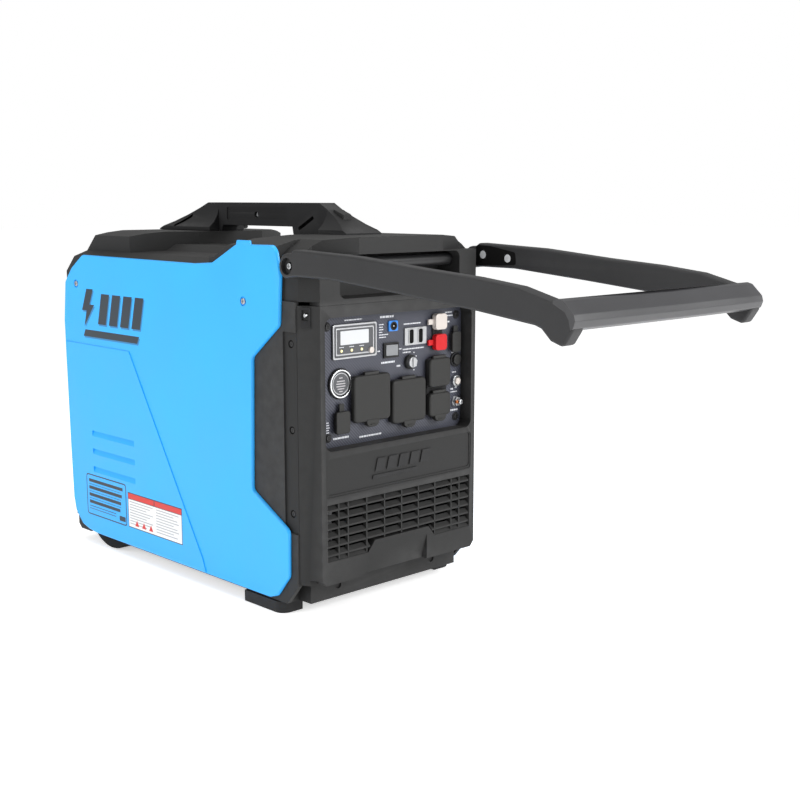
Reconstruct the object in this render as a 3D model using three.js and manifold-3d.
// Inverter generator with a fold-down pull handle. Millimetres, +Z up, the control panel faces -Y.
// Left is -X and right is +X, as seen by a person who faces the control panel.
import * as THREE from "three";
import { mergeVertices } from "three/addons/utils/BufferGeometryUtils.js";
import Module from "manifold-3d";

const wasm = await Module();
wasm.setup();

// ---------------------------------------------------------------- driving dimensions

const GAP = 0.3; // between neighbours that touch
const BIG = 2000; // reach of a cutting tool

const PANEL_OUT = 175; // half the width over the blue side panels
const PANEL_IN = 169;
const SHELL_OUT = 168.4; // half the width over the black side shells
const SHELL_IN = 161.3;
const FRONT_Y = -316.6;
const REAR_Y = 306;
const PANEL_REAR_Y = 312;
const COLUMN_Y = -287; // front edge of the side shells
const BASE_Z = 17; // underside of the base pan
const SEAM_Z = 437; // top cover above, housing below
const PLATEAU_Z = 519.5;

const PLATE_Y = -294.6; // front face of the control panel plate
const PLATE_BACK_Y = -291.6;
const MODULE_BACK_Y = PLATE_Y - GAP; // back of whatever sits on the plate
const WINDOW = { x: 142, bottom: 235, top: 415, corner: 12 }; // opening over the control panel
const GRILLE = { x: 140, bottom: 82.6, top: 162, pitch: 12.4, slot: 7.6, bar: 1.8 };
const GRILLE_BARS = [-119, -102, -67.5, -33.5, 0, 33.5, 67.5, 102, 119];
const SCOOP = { low: 66, high: 53, top: 98 }; // boss that rises into the two lowest grille rows

const PIVOT = { y: -293.7, z: 484.3 }; // pull handle hinge
const ARM_IN = 166;
const ARM_OUT = 186.5;
const NOSE_Y = -766; // foremost point of the pull handle
const WHEEL = { y: 205, z: 70, radius: 70, inner: 130, outer: 166 };
const CRANK = { x: 0, z: 150 };
const CAP = { x: 72, y: 180 }; // fuel cap

// ---------------------------------------------------------------- finishes

const finish = (color, roughness, metalness = 0) =>
  new THREE.MeshStandardMaterial({ color, roughness, metalness, flatShading: true });

const BLUE = finish(0x4bbeff, 0.42);
const BLACK = finish(0x37373a, 0.6);
const SOFT_BLACK = finish(0x2c2c2e, 0.75);
const RUBBER = finish(0x1d1d1e, 0.9);
const WHITE_RUBBER = finish(0xe9e9e6, 0.7);
const RED_RUBBER = finish(0xd8282a, 0.65);
const PLATE = finish(0x55595f, 0.5);
const GREY = finish(0x9a9da0, 0.45);
const STEEL = finish(0xb9bcbf, 0.3, 1);
const CHROME = finish(0xd9dcdf, 0.12, 1);
const PAINTED_STEEL = finish(0x3b3b3d, 0.5, 0.4);
const ALLOY = finish(0xa7a9ab, 0.4, 0.9);
const COPPER = finish(0xb06a3c, 0.35, 0.9);

// ---------------------------------------------------------------- geometry helpers

// Local u, v, w of an extrusion laid on the part's axes: u and v span the outline, w is the way it grows.
const LAY = {
  x: new THREE.Matrix4().makeBasis(
    new THREE.Vector3(0, 1, 0), new THREE.Vector3(0, 0, 1), new THREE.Vector3(1, 0, 0)),
  y: new THREE.Matrix4().makeBasis(
    new THREE.Vector3(1, 0, 0), new THREE.Vector3(0, 0, 1), new THREE.Vector3(0, -1, 0)),
  z: new THREE.Matrix4(),
};

// Outlines are in (y, z) for axis x, (x, z) for axis y and (x, y) for axis z.
function prism(axis, outline, from, to) {
  const shape = Array.isArray(outline)
    ? new THREE.Shape(outline.map(([u, v]) => new THREE.Vector2(u, v)))
    : outline;
  const depth = to - from;
  const made = new THREE.ExtrudeGeometry(shape, { depth, bevelEnabled: false, curveSegments: 6 });
  made.translate(0, 0, axis === "y" ? -to : from);
  return made.applyMatrix4(LAY[axis]);
}

function box(x0, x1, y0, y1, z0, z1) {
  const made = new THREE.BoxGeometry(x1 - x0, y1 - y0, z1 - z0);
  return made.translate((x0 + x1) / 2, (y0 + y1) / 2, (z0 + z1) / 2);
}

// A round bar along an axis, between two places on it, centred on (u, v) of the outline plane.
function bar(axis, u, v, radius, from, to, sides = 24) {
  const made = new THREE.CylinderGeometry(radius, radius, to - from, sides);
  made.rotateX(Math.PI / 2);
  made.translate(u, v, axis === "y" ? -(from + to) / 2 : (from + to) / 2);
  return made.applyMatrix4(LAY[axis]);
}

// A solid of revolution about an axis through (u, v); the profile is [radius, place] pairs, closed.
function turned(axis, u, v, profile, sides = 32) {
  const points = [...profile, profile[0]].map(([r, w]) => new THREE.Vector2(r, w));
  const made = new THREE.LatheGeometry(points, sides);
  made.rotateX(Math.PI / 2);
  if (axis === "y") made.scale(1, 1, -1);
  made.translate(u, v, 0);
  made.applyMatrix4(LAY[axis]);
  return facingOut(made);
}

function roundedRect(u0, u1, v0, v1, r) {
  const shape = new THREE.Shape();
  shape.absarc(u1 - r, v1 - r, r, 0, Math.PI / 2);
  shape.absarc(u0 + r, v1 - r, r, Math.PI / 2, Math.PI);
  shape.absarc(u0 + r, v0 + r, r, Math.PI, Math.PI * 1.5);
  shape.absarc(u1 - r, v0 + r, r, Math.PI * 1.5, Math.PI * 2);
  return shape;
}

function flipped(geometry) {
  const made = geometry.index ? geometry.toNonIndexed() : geometry.clone();
  const place = made.getAttribute("position").array;
  for (let i = 0; i < place.length; i += 9) {
    for (let k = 0; k < 3; k += 1) {
      [place[i + 3 + k], place[i + 6 + k]] = [place[i + 6 + k], place[i + 3 + k]];
    }
  }
  return made;
}

function signedVolume(geometry) {
  const place = (geometry.index ? geometry.toNonIndexed() : geometry).getAttribute("position");
  const [a, b, c] = [new THREE.Vector3(), new THREE.Vector3(), new THREE.Vector3()];
  let six = 0;
  for (let i = 0; i < place.count; i += 3) {
    a.fromBufferAttribute(place, i);
    b.fromBufferAttribute(place, i + 1);
    c.fromBufferAttribute(place, i + 2);
    six += a.dot(b.cross(c));
  }
  return six / 6;
}

const facingOut = (geometry) => (signedVolume(geometry) < 0 ? flipped(geometry) : geometry);
const mirrored = (geometry) => flipped(geometry.clone().scale(-1, 1, 1));

function solid(geometry) {
  const bare = geometry.clone();
  bare.deleteAttribute("normal");
  bare.deleteAttribute("uv");
  const merged = mergeVertices(bare, 1e-3);
  return new wasm.Manifold(new wasm.Mesh({
    numProp: 3,
    vertProperties: new Float32Array(merged.getAttribute("position").array),
    triVerts: new Uint32Array(merged.index.array),
  }));
}

function geometryOf(manifold) {
  const mesh = manifold.getMesh();
  const made = new THREE.BufferGeometry();
  made.setAttribute("position", new THREE.BufferAttribute(mesh.vertProperties, 3));
  made.setIndex(new THREE.BufferAttribute(mesh.triVerts, 1));
  return made;
}

const cut = (base, ...tools) =>
  geometryOf(tools.reduce((left, tool) => left.subtract(solid(tool)), solid(base)));
const join = (...pieces) =>
  geometryOf(pieces.map(solid).reduce((left, right) => left.add(right)));
const common = (...pieces) =>
  geometryOf(pieces.map(solid).reduce((left, right) => left.intersect(right)));

// ---------------------------------------------------------------- the scene graph

const generator = new THREE.Group();
const body = new THREE.Group();
body.position.y = -(NOSE_Y + PANEL_REAR_Y) / 2; // the origin lies under the middle of the whole length
generator.add(body);

function add(name, geometry, material) {
  const mesh = new THREE.Mesh(geometry, material);
  mesh.name = name;
  mesh.geometry.computeVertexNormals();
  body.add(mesh);
}

function addPair(name, right, material) {
  add(`${name}_left`, mirrored(right), material);
  add(`${name}_right`, right, material);
}

// ---------------------------------------------------------------- base, wheels and feet

const ARCH_RADIUS = WHEEL.radius + 6;
const archCut = (from, to) => bar("x", WHEEL.y, WHEEL.z, ARCH_RADIUS, from, to, 32);

function basePan() {
  const wall = 4;
  const edge = SHELL_IN - GAP;
  const skirt = { x: 143, top: 49.5, y: -283, back: -258 };
  const tray = cut(
    box(-edge, edge, skirt.back, 299, BASE_Z, 47),
    box(-edge + wall, edge - wall, skirt.back + wall, 299 - wall, BASE_Z + wall, BIG),
  );
  const brackets = [-1, 1].map((side) =>
    box(side * 118 - 3, side * 118 + 3, WHEEL.y - 16, WHEEL.y + 16, BASE_Z, WHEEL.z + 18));
  return cut(
    join(tray, box(-skirt.x, skirt.x, skirt.y, skirt.back + 1, BASE_Z, skirt.top), ...brackets),
    archCut(WHEEL.inner - 6, BIG),
    archCut(-BIG, 6 - WHEEL.inner),
    bar("x", WHEEL.y, WHEEL.z, 8.4, -125, 125),
    ...[-93, 93].map((x) => bar("y", x, 34, 5.5, -BIG, skirt.y + 2.5, 12)),
  );
}

function wheel() {
  const tread = WHEEL.radius;
  const { inner, outer } = WHEEL;
  return turned("x", WHEEL.y, WHEEL.z, [
    [8.3, inner + 4], [44, inner + 9], [48, inner + 1], [62, inner],
    [68, inner + 3], [tread, inner + 8], [tread, outer - 8], [68, outer - 3], [62, outer],
    [48, outer - 1], [44, outer - 9], [18, outer - 5], [8.3, outer - 5],
  ], 36);
}

function frontFoot() {
  const sole = new THREE.Shape();
  sole.moveTo(132, -165);
  sole.lineTo(132, -252);
  sole.absarc(169 - 16, -252 + 16, 16, Math.PI * 1.5, Math.PI * 2);
  sole.lineTo(169, -165);
  return prism("z", sole, 0, BASE_Z - GAP);
}

// ---------------------------------------------------------------- sides

const SIDE_OUTLINE = [
  [258, 23.5], [235, 21], [-229, 21], [-246, 27], [-273, 60], [-274, 125], [-194, 169], [-199, 356],
  [-259, 404], [-263, 469], [-256, 502], [-248, 510], [-201, 510], [-198, 515], [-169, 515], [-166, 509],
  [-109, 482], [-64, 479], [247, 481], [281, 460], [304, 436], [PANEL_REAR_Y, 371], [308, 160],
  [305, 72], [299, 49], [278, 29],
];

function sidePanel() {
  const screwHole = (y, z) => bar("x", y, z, 5, PANEL_OUT - 3, BIG, 16);
  const louvres = [191, 161, 131].map((z) => box(PANEL_OUT - 2, BIG, 107, 233, z - 4.5, z + 4.5));
  return cut(
    prism("x", SIDE_OUTLINE, PANEL_IN, PANEL_OUT),
    screwHole(268.5, 433.8),
    screwHole(-181.4, 431.7),
    ...louvres,
  );
}

function sideShell() {
  const outline = [
    [300, 26], [292, 18.5], [-262, 18.5], [COLUMN_Y, 48], [COLUMN_Y, SEAM_Z - GAP], [300, SEAM_Z - GAP],
  ];
  const channelFloor = SHELL_OUT - 2.5;
  const screws = [380, 263.5, 148].map((z) => bar("x", -275, z, 5.5, channelFloor - 2, BIG, 16));
  return cut(
    prism("x", outline, SHELL_IN, SHELL_OUT),
    archCut(-BIG, BIG),
    box(channelFloor, BIG, -BIG, -261, 121, 396),
    ...screws,
  );
}

// ---------------------------------------------------------------- front

const CHEEK_X = 165.4; // half the width of the front, under the arms of the pull handle
const CHEEK_Y = -291;
const FRONT_X = 150; // half the width of the flat front face

function frontHousing() {
  const edge = SHELL_IN - GAP;
  const plan = [
    [-FRONT_X, FRONT_Y], [FRONT_X, FRONT_Y], [CHEEK_X, COLUMN_Y - GAP], [edge, COLUMN_Y - GAP],
    [edge, -262], [-edge, -262], [-edge, COLUMN_Y - GAP], [-CHEEK_X, COLUMN_Y - GAP],
  ];
  const corner = [[142, 49], [BIG, 49], [BIG, 58], [FRONT_X, 58]];
  const mirroredCorner = corner.map(([x, z]) => [-x, z]).reverse();
  const air = [
    [-GRILLE.x, GRILLE.bottom], [-SCOOP.low, GRILLE.bottom], [-SCOOP.high, SCOOP.top],
    [SCOOP.high, SCOOP.top], [SCOOP.low, GRILLE.bottom], [GRILLE.x, GRILLE.bottom],
    [GRILLE.x, GRILLE.top], [-GRILLE.x, GRILLE.top],
  ];
  const wall = 4;
  const inside = PLATE_Y - GAP;
  return cut(
    prism("z", plan, 50, 431.5),
    prism("y", corner, -BIG, -300),
    prism("y", mirroredCorner, -BIG, -300),
    prism("y", roundedRect(-WINDOW.x, WINDOW.x, WINDOW.bottom, WINDOW.top, WINDOW.corner), -BIG, inside + 5),
    prism("y", air, -BIG, inside + 5),
    prism("y", roundedRect(-140, 140, 175, 227, 6), -BIG, FRONT_Y + 2),
    box(-edge + wall, edge - wall, inside, BIG, 72, 427),
    box(-136, 136, FRONT_Y + 6, BIG, 171, 229),
    box(-120, 120, -300, BIG, 54, 78),
  );
}

function intakeGrille() {
  const face = FRONT_Y + 1;
  const inset = 0.4;
  const plate = [
    [-GRILLE.x + inset, GRILLE.bottom + inset], [-SCOOP.low - inset, GRILLE.bottom + inset],
    [-SCOOP.high - inset, SCOOP.top + inset], [SCOOP.high + inset, SCOOP.top + inset],
    [SCOOP.low + inset, GRILLE.bottom + inset], [GRILLE.x - inset, GRILLE.bottom + inset],
    [GRILLE.x - inset, GRILLE.top - inset], [-GRILLE.x + inset, GRILLE.top - inset],
  ];
  const edges = [-GRILLE.x, ...GRILLE_BARS, GRILLE.x];
  const slots = [];
  for (let row = 0; row < 6; row += 1) {
    const top = GRILLE.top - 3 - row * GRILLE.pitch;
    for (let column = 0; column + 1 < edges.length; column += 1) {
      const left = edges[column] + GRILLE.bar;
      const right = edges[column + 1] - GRILLE.bar;
      const overScoop = top - GRILLE.slot < SCOOP.top + 3 && Math.abs(left + right) / 2 < SCOOP.low;
      if (!overScoop) slots.push(box(left, right, -BIG, 0, top - GRILLE.slot, top));
    }
  }
  return cut(prism("y", plate, face, face + 7), ...slots);
}

// ---------------------------------------------------------------- top cover and carry handle

const HUMP = { x: 150, front: 78, corner: 140, back: REAR_Y, slope: 234 };
const BROW = { x: 78, z: 520, low: 498 };
const FOOT_Z = 514;


// The plan of the rear hump, which narrows towards the carry handle.
const humpPlan = (inset) => [
  [HUMP.x - inset, HUMP.back], [HUMP.x - inset, HUMP.corner + inset], [62 - inset, HUMP.front + inset],
  [-62 + inset, HUMP.front + inset], [-HUMP.x + inset, HUMP.corner + inset], [-HUMP.x + inset, HUMP.back],
];

function topCover() {
  const plan = [
    [-FRONT_X, FRONT_Y], [FRONT_X, FRONT_Y], [CHEEK_X, CHEEK_Y], [CHEEK_X, -262], [SHELL_OUT, -258],
    [SHELL_OUT, HUMP.back], [-SHELL_OUT, HUMP.back], [-SHELL_OUT, -258], [-CHEEK_X, -262],
    [-CHEEK_X, CHEEK_Y],
  ];
  const both = (half) => [...half, ...half.map(([x, z]) => [-x, z]).reverse()];
  const shelf = both([[SHELL_OUT, SEAM_Z], [SHELL_OUT, 478], [HUMP.x, 487], [104, 490], [92, 500]]);
  const hump = both([[HUMP.x, 480], [HUMP.x, 512], [130, 516.5], [104, PLATEAU_Z]]);
  const block = both([[SHELL_OUT, SEAM_Z], [SHELL_OUT, 508], [137, 516], [BROW.x, BROW.z]]);
  const shell = join(
    common(prism("y", block, FRONT_Y, -97), prism("z", plan, SEAM_Z, BIG)),
    prism("y", shelf, -160, REAR_Y),
    common(prism("y", hump, HUMP.front - 1, REAR_Y), prism("z", humpPlan(0), 470, BIG)),
  );
  const sideSlope = [[-170, 521], [-109, 490], [-96, 490], [-96, BIG], [-170, BIG]];
  const middleSlope = [[-176, BROW.z], [-150, FOOT_Z], [-96, FOOT_Z], [-96, BIG], [-176, BIG]];
  const cheek = [[122, BIG], [122, 519], [147, 505], [171, 486], [BIG, 486], [BIG, BIG]];
  const brow = [[BROW.x, FRONT_Y - 1], [140, -290], [BIG, -290], [BIG, -BIG], [BROW.x, -BIG]];
  const flipX = (outline) => outline.map(([x, v]) => [-x, v]).reverse();
  const rearSlope = [
    [HUMP.slope, PLATEAU_Z], [REAR_Y + 1, 452], [BIG, 452], [BIG, BIG], [HUMP.slope, BIG],
  ];
  const frontLip = box(-FRONT_X, FRONT_X, FRONT_Y, -296, 431.8, SEAM_Z + 1);
  const cavity = both([[160, 430], [160, 470], [146, 479], [101, 483], [88, 492]]);
  const blockCavity = both([[118, 478], [118, 506], [60, 512]]);
  const humpCavity = both([[140, 478], [140, 504], [98, 511]]);
  return cut(
    join(shell, frontLip),
    prism("x", sideSlope, -BIG, -60),
    prism("x", sideSlope, 60, BIG),
    prism("x", middleSlope, -61, 61),
    prism("y", cheek, -BIG, -250),
    prism("y", flipX(cheek), -BIG, -250),
    prism("z", brow, BROW.low, BIG),
    prism("z", flipX(brow), BROW.low, BIG),
    prism("x", rearSlope, -BIG, BIG),
    prism("y", cavity, -268, HUMP.slope + 18),
    prism("y", blockCavity, -262, -180),
    common(prism("y", humpCavity, HUMP.front, HUMP.slope - 12), prism("z", humpPlan(8), 470, BIG)),
    prism("y", roundedRect(-115, 115, 439, 497, 10), -BIG, -272),
    bar("x", PIVOT.y, PIVOT.z, 9.4, -BIG, BIG, 20),
    bar("z", CAP.x, CAP.y, 24, 480, BIG, 28),
  );
}

// A straight grip between two legs that spread towards the cover.
function carryHandle() {
  const top = 564.5;
  const under = 529;
  const rear = HUMP.slope - 2;
  const outline = [
    [-238, BROW.z + GAP], [-238, BROW.z + 1], [-158, top], [119, top], [rear, 521.5],
    [rear, PLATEAU_Z + GAP], [84, PLATEAU_Z + GAP], [79, under], [-95, under], [-98, FOOT_Z + GAP],
    [-150, FOOT_Z + GAP], [-176, BROW.z + GAP],
  ];
  const spread = [[34, 500], [34, 527], [15, 552], [-15, 552], [-34, 527], [-34, 500]];
  const legs = common(
    prism("x", outline, -34, 34),
    join(prism("y", spread, 88, rear + 4), prism("y", spread, -240, -176)),
  );
  const slot = (y, z) => prism("x", [
    [y - 15, z + 11], [y - 18, z + 8], [y - 16, z + 5], [y + 14, z - 11], [y + 17, z - 9], [y + 15, z - 5],
  ], -BIG, BIG);
  return cut(
    join(prism("x", outline, -15, 15), legs),
    bar("x", -6, 546, 4, -BIG, BIG, 14),
    slot(-127, 534),
    slot(174, 534),
  );
}

// ---------------------------------------------------------------- rear

const EXHAUST = { x: 72, z: 165, hole: 27 };

function rearCover() {
  const outline = [
    [-150, 24], [150, 24], [SHELL_OUT, 42], [SHELL_OUT, SEAM_Z - GAP], [-SHELL_OUT, SEAM_Z - GAP],
    [-SHELL_OUT, 42],
  ];
  const vents = [];
  for (let row = 0; row < 6; row += 1) {
    vents.push(box(-130, -10, 0, BIG, 110 + row * 20, 118 + row * 20));
  }
  return cut(
    prism("y", outline, 300.3, REAR_Y - GAP),
    bar("y", EXHAUST.x, EXHAUST.z, EXHAUST.hole, 0, BIG, 32),
    ...vents,
  );
}

// ---------------------------------------------------------------- control panel

const METER = { left: -112, right: -31, bottom: 355, top: 403 };
const METER_BUTTON = { x: -42, z: 364, radius: 4.4 };
const START = { x: -98, z: 322, ring: 21.5, button: 16.5 };
const ROCKER = { x: -2.5, z: 360, halfWidth: 14.3, halfHeight: 10.7, border: 2.6 };
const KNOB = { x: 34.5, z: 340, radius: 10.5 };
const RESET = { x: 130, z: 335, radius: 8 };
const BREAKER = { x: 130, z: 303, radius: 5 };
const GROUND = { x: 131, z: 272 };
const PORTS = { x: 90.5, white: 394.5, red: 364.5 };
const DC = { x: -99, z: 269 };
const AUX = { x: 125, z: 362 };
const OUTLET_THICK = 4.2;
const LOWER_LID_TOP = 291;

function controlPanel() {
  const { halfWidth, halfHeight, border } = ROCKER;
  const hole = ({ x, z }, radius) => bar("y", x, z, radius, -BIG, 0, 28);
  return cut(
    join(
      prism("y", roundedRect(-146, 146, 231, 419, 12), PLATE_Y, PLATE_BACK_Y),
      bar("y", AUX.x, AUX.z, 6.5, MODULE_BACK_Y - 2.4, PLATE_BACK_Y, 20),
    ),
    hole(METER_BUTTON, METER_BUTTON.radius + 0.6),
    hole(START, START.button + 0.5),
    hole(KNOB, 3.5),
    hole(RESET, RESET.radius - 1.6),
    hole(BREAKER, BREAKER.radius + 0.5),
    box(ROCKER.x - halfWidth + border, ROCKER.x + halfWidth - border, -BIG, 0,
      ROCKER.z - halfHeight + border, ROCKER.z + halfHeight - border),
  );
}

const onPlate = (thick) => [MODULE_BACK_Y - thick, MODULE_BACK_Y];

function rockerSwitch() {
  const reach = ROCKER.halfWidth - ROCKER.border - 1.9;
  const height = ROCKER.halfHeight - ROCKER.border - 0.5;
  const { x } = ROCKER;
  const plan = [
    [x - reach, PLATE_Y - 2.4], [x, PLATE_Y - 3.6], [x + reach, PLATE_Y - 6],
    [x + reach - 2, PLATE_Y + 2.5], [x - reach + 2, PLATE_Y + 3.5],
  ];
  return prism("z", plan.reverse(), ROCKER.z - height, ROCKER.z + height);
}

function selectorKnob() {
  const { x, z, radius } = KNOB;
  const front = MODULE_BACK_Y - 8.5;
  const skirt = turned("y", x, z, [
    [0, front], [radius - 3, front], [radius - 2, front + 3.5], [radius, front + 6],
    [radius, MODULE_BACK_Y - GAP], [3, MODULE_BACK_Y - GAP], [3, PLATE_BACK_Y + 4], [0, PLATE_BACK_Y + 4],
  ], 28);
  return join(skirt, box(x - 2, x + 2, front - 2.5, front + 5, z - 9, z + 9));
}

function outlet(left, right, bottom, top) {
  return prism("y", roundedRect(left, right, bottom, top, 3), ...onPlate(OUTLET_THICK));
}

// A flap in front of its outlet, with a knuckle on top and a lip to lift it by.
function outletLid(left, right, bottom, top, lipDrop = 8) {
  const back = MODULE_BACK_Y - OUTLET_THICK - GAP;
  const front = back - 7;
  const middle = (left + right) / 2;
  const lip = Math.min(13, (right - left) / 2 - 6);
  const lid = join(
    prism("y", roundedRect(left, right, bottom, top, 4), front, back),
    box(middle - 14, middle + 14, back - 4, back, top - 1, top + 3.6),
  );
  if (!lipDrop) return lid;
  return join(lid, box(middle - lip, middle + lip, front - 2, back, bottom - lipDrop, bottom + 1));
}

function parallelPort() {
  const jack = (z) => bar("y", PORTS.x, z, 7.5, MODULE_BACK_Y - 6, MODULE_BACK_Y - 1, 20);
  return join(
    box(PORTS.x - 10, PORTS.x + 10, MODULE_BACK_Y - 2, MODULE_BACK_Y, PORTS.red - 11, PORTS.white + 11),
    jack(PORTS.white),
    jack(PORTS.red),
  );
}

function parallelCap(z) {
  const back = MODULE_BACK_Y - 2 - GAP;
  const cap = join(
    prism("y", roundedRect(PORTS.x - 11.5, PORTS.x + 11.5, z - 11.5, z + 11.5, 5), back - 8, back),
    box(69, PORTS.x - 10, back - 3, back, z - 4, z + 4),
  );
  return cut(cap, bar("y", PORTS.x, z, 8.4, MODULE_BACK_Y - 7, BIG, 20));
}

function strappedCover({ x, z }, halfWidth, halfHeight, strapTop, thick) {
  const back = MODULE_BACK_Y - 3 - GAP;
  return join(
    prism("y", roundedRect(x - halfWidth, x + halfWidth, z - halfHeight, z + halfHeight, 4),
      back - thick, back),
    box(x - 4.5, x + 4.5, back - 2.5, back, z + halfHeight - 1, strapTop),
  );
}

function addControlPanel() {
  add("control_panel", controlPanel(), PLATE);
  add("meter_module", cut(
    prism("y", roundedRect(METER.left, METER.right, METER.bottom, METER.top, 3), ...onPlate(3.2)),
    bar("y", METER_BUTTON.x, METER_BUTTON.z, METER_BUTTON.radius + 0.4, -BIG, 0, 20),
  ), STEEL);
  add("meter_button", bar("y", METER_BUTTON.x, METER_BUTTON.z, METER_BUTTON.radius,
    MODULE_BACK_Y - 5, PLATE_BACK_Y - 1, 20), WHITE_RUBBER);
  add("start_ring", turned("y", START.x, START.z, [
    [START.button + 0.4, MODULE_BACK_Y], [START.button + 0.4, MODULE_BACK_Y - 3],
    [START.ring - 2, MODULE_BACK_Y - 4], [START.ring, MODULE_BACK_Y - 2], [START.ring, MODULE_BACK_Y],
  ], 30), CHROME);
  add("start_button", bar("y", START.x, START.z, START.button,
    MODULE_BACK_Y - 2.6, PLATE_BACK_Y + 2, 36), GREY);
  add("dc_output_module", box(-7.3, 10.3, ...onPlate(3.5), 386.5, 401.5), finish(0x1f6fd0, 0.4));
  const { halfWidth, halfHeight, border } = ROCKER;
  add("rocker_frame", cut(
    box(ROCKER.x - halfWidth, ROCKER.x + halfWidth, ...onPlate(2.6),
      ROCKER.z - halfHeight, ROCKER.z + halfHeight),
    box(ROCKER.x - halfWidth + border, ROCKER.x + halfWidth - border, -BIG, 0,
      ROCKER.z - halfHeight + border, ROCKER.z + halfHeight - border),
  ), SOFT_BLACK);
  add("rocker_switch", rockerSwitch(), GREY);
  add("usb_module", box(24, 68 - 0.5, ...onPlate(3.4), 364, 389), STEEL);
  add("selector_knob", selectorKnob(), STEEL);
  add("parallel_port", parallelPort(), SOFT_BLACK);
  add("parallel_cap_white", parallelCap(PORTS.white), WHITE_RUBBER);
  add("parallel_cap_red", parallelCap(PORTS.red), RED_RUBBER);
  add("outlet_left", outlet(-75, -15, 267, 330), SOFT_BLACK);
  add("outlet_middle", outlet(-7, 57, 257, 316), SOFT_BLACK);
  add("outlet_right", cut(
    outlet(67, 109, 258, 341),
    box(65, 111, -BIG, MODULE_BACK_Y - OUTLET_THICK + 1.5, LOWER_LID_TOP - 3, LOWER_LID_TOP + 7),
  ), SOFT_BLACK);
  add("outlet_lid_left", outletLid(-81, -12, 265, 331), RUBBER);
  add("outlet_lid_middle", outletLid(-8, 58.5, 255, 318), RUBBER);
  add("outlet_lid_upper_right", outletLid(66, 110, 299.5, 342, 0), RUBBER);
  add("outlet_lid_lower_right", outletLid(66, 110, 256, LOWER_LID_TOP), RUBBER);
  add("dc_socket", bar("y", DC.x, DC.z, 11, ...onPlate(2.8), 24), SOFT_BLACK);
  add("dc_cover", strappedCover(DC, 12.5, 15.5, 295, 6), RUBBER);
  add("aux_cover", strappedCover(AUX, 9, 15, 386, 5), RUBBER);
  add("reset_button", turned("y", RESET.x, RESET.z, [
    [0, MODULE_BACK_Y - 6], [RESET.radius - 1, MODULE_BACK_Y - 6], [RESET.radius, MODULE_BACK_Y - 5],
    [RESET.radius, MODULE_BACK_Y - 2.4], [RESET.radius - 2, MODULE_BACK_Y - 2.4],
    [RESET.radius - 2, PLATE_BACK_Y + 3], [0, PLATE_BACK_Y + 3],
  ], 24), RUBBER);
  add("breaker_button", bar("y", BREAKER.x, BREAKER.z, BREAKER.radius,
    MODULE_BACK_Y - 7, PLATE_BACK_Y + 3, 20), STEEL);
  add("ground_terminal", turned("y", GROUND.x, GROUND.z, [
    [0, MODULE_BACK_Y - 13], [3, MODULE_BACK_Y - 13], [3, MODULE_BACK_Y - 8], [7, MODULE_BACK_Y - 8],
    [7, MODULE_BACK_Y - 3], [4, MODULE_BACK_Y - 3], [8, MODULE_BACK_Y - 1], [8, MODULE_BACK_Y],
    [0, MODULE_BACK_Y],
  ], 20), STEEL);
}

// ---------------------------------------------------------------- pull handle

function handleArm() {
  const outline = new THREE.Shape();
  const boss = 17;
  outline.moveTo(PIVOT.y - 12, 506);
  [[-426, 501], [-538, 491], [-622, 485], [-685, 478], [-748, 469], [-760, 465], [NOSE_Y + 2, 451],
    [NOSE_Y, 442], [-750, 420], [-745, 418.5], [-731, 423], [-718, 435], [-709, 438], [-624, 448],
    [-505, 459.4], [-375, 470.6], [-310, 471]].forEach(([y, z]) => outline.lineTo(y, z));
  outline.absarc(PIVOT.y, PIVOT.z, boss, -Math.PI * 0.72, Math.PI * 0.5);
  return cut(
    prism("x", outline, ARM_IN, ARM_OUT),
    bar("x", PIVOT.y, PIVOT.z, 11, ARM_OUT - 6, BIG, 24),
  );
}

function handleGrip() {
  const section = [
    [-734, 466], [-734, 438], [-742, 434.5], [-752, 434.5], [-761, 438], [-764, 446], [-762, 453],
    [-748, 466.5], [-741, 468.5],
  ];
  return prism("x", section, GAP - ARM_IN, ARM_IN - GAP);
}

function latchBracket() {
  const plan = [[156.6, -304.8], [162.8, -293.2], [164.7, -294.2], [158.5, -305.8]];
  const hole = { rear: -295.5, front: -303.5, low: 413, high: 426 };
  return cut(
    prism("z", plan, 402, 430),
    box(0, BIG, hole.front, hole.rear, hole.low, hole.high),
  );
}

// ---------------------------------------------------------------- what is inside

function engineBlock() {
  return cut(
    join(
      box(-75, 65, -35, 90, BASE_Z + 4 + GAP, 205),
      bar("z", -5, 28, 44, 200, 250, 24),
    ),
    bar("y", CRANK.x, CRANK.z, 12.4, -BIG, BIG, 20),
    box(-67, 57, -27, 82, 0, 130),
  );
}

function cylinderHead() {
  const fins = [];
  for (let layer = 0; layer < 5; layer += 1) {
    fins.push(box(-58, 48, -25, 81, 258 + layer * 11, 262.5 + layer * 11));
  }
  return join(box(-45, 35, -12, 68, 250 + GAP, 312), ...fins);
}

function fuelTank() {
  return join(
    prism("y", [[-130, 345], [130, 345], [135, 355], [135, 478], [-135, 478], [-135, 355]], -130, 240),
    bar("z", CAP.x, CAP.y, 22, 470, PLATEAU_Z, 24),
  );
}

function coolingFan() {
  const hub = turned("y", CRANK.x, CRANK.z, [[12.4, -160], [30, -160], [30, -130], [95, -130], [95, -127],
    [12.4, -127]], 28);
  const blades = [];
  for (let i = 0; i < 10; i += 1) {
    const blade = new THREE.BoxGeometry(60, 24, 3);
    blade.translate(58, 0, 0);
    blade.rotateY((i * Math.PI * 2) / 10);
    blade.translate(CRANK.x, -141, CRANK.z);
    blades.push(blade);
  }
  return join(hub, ...blades);
}

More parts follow.
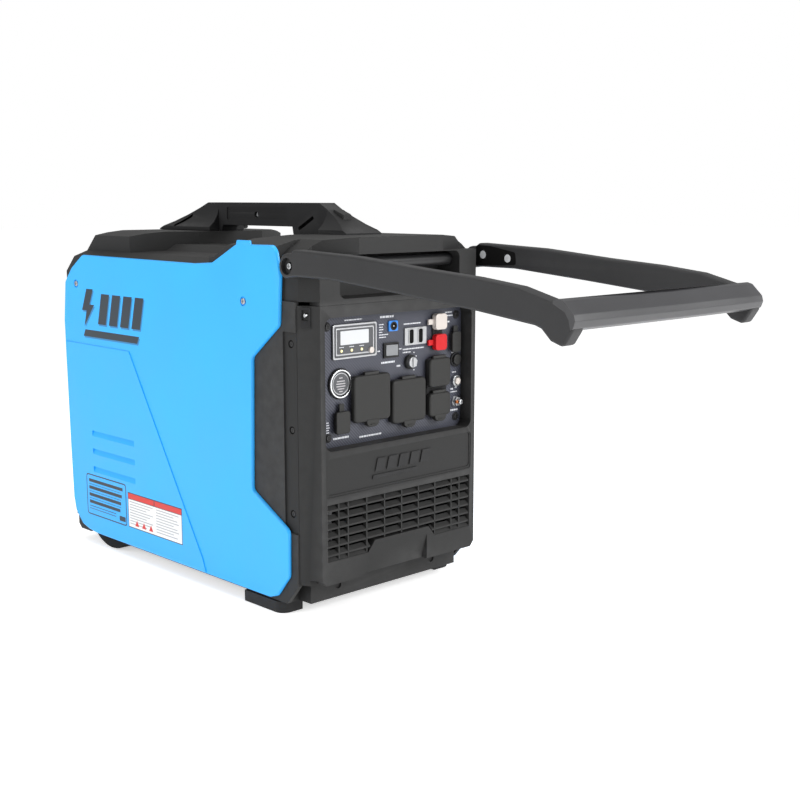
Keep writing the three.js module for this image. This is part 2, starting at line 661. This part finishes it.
function addInternals() {
  add("engine_block", engineBlock(), ALLOY);
  add("cylinder_head", cylinderHead(), ALLOY);
  add("crankshaft", bar("y", CRANK.x, CRANK.z, 12, -165, 80, 20), STEEL);
  add("stator", turned("y", CRANK.x, CRANK.z, [[14, -100], [80, -100], [80, -60], [60, -55], [14, -55]], 24),
    COPPER);
  add("rotor", turned("y", CRANK.x, CRANK.z, [[12.4, -118], [94, -118], [94, -50], [84, -50], [84, -108],
    [12.4, -108]], 28), STEEL);
  add("cooling_fan", coolingFan(), SOFT_BLACK);
  add("fuel_tank", fuelTank(), SOFT_BLACK);
  add("muffler", cut(
    prism("y", roundedRect(12, 116, 105, 235, 24), 130, 284),
    prism("y", roundedRect(15, 113, 108, 232, 21), 133, 281),
    bar("y", EXHAUST.x, EXHAUST.z, 17, 270, BIG, 24),
  ), PAINTED_STEEL);
  add("exhaust_outlet", turned("y", EXHAUST.x, EXHAUST.z, [[17, 285], [17, 310], [24, 310], [26, 306],
    [26, 285]], 28), STEEL);
  add("inverter_module", box(-150, -62, -235, -175, 60, 215), ALLOY);
  add("starter_battery", box(62, 145, -240, -175, BASE_Z + 4 + GAP, 120), SOFT_BLACK);
  add("air_filter_box", box(66, 150, -30, 60, 185, 310), SOFT_BLACK);
}

// ---------------------------------------------------------------- assembly

add("base_pan", basePan(), SOFT_BLACK);
addPair("side_shell", sideShell(), BLACK);
addPair("side_panel", sidePanel(), BLUE);
add("front_housing", frontHousing(), BLACK);
add("intake_grille", intakeGrille(), BLACK);
add("top_cover", topCover(), BLACK);
add("carry_handle", carryHandle(), SOFT_BLACK);
add("rear_cover", rearCover(), BLACK);
addPair("front_foot", frontFoot(), RUBBER);
addPair("wheel", wheel(), RUBBER);
add("wheel_axle", bar("x", WHEEL.y, WHEEL.z, 8, -162, 162, 20), STEEL);
add("fuel_cap", turned("z", CAP.x, CAP.y, [
  [0, PLATEAU_Z + 1], [30, PLATEAU_Z + 1], [31, PLATEAU_Z + 4], [30, PLATEAU_Z + 15], [26, PLATEAU_Z + 19],
  [0, PLATEAU_Z + 19],
], 32), SOFT_BLACK);
addControlPanel();
addPair("handle_arm", handleArm(), PAINTED_STEEL);
add("handle_grip", handleGrip(), SOFT_BLACK);
add("handle_axle", bar("x", PIVOT.y, PIVOT.z, 9, -CHEEK_X, CHEEK_X, 20), PAINTED_STEEL);
addPair("latch_bracket", latchBracket(), SOFT_BLACK);
addInternals();

export default generator;
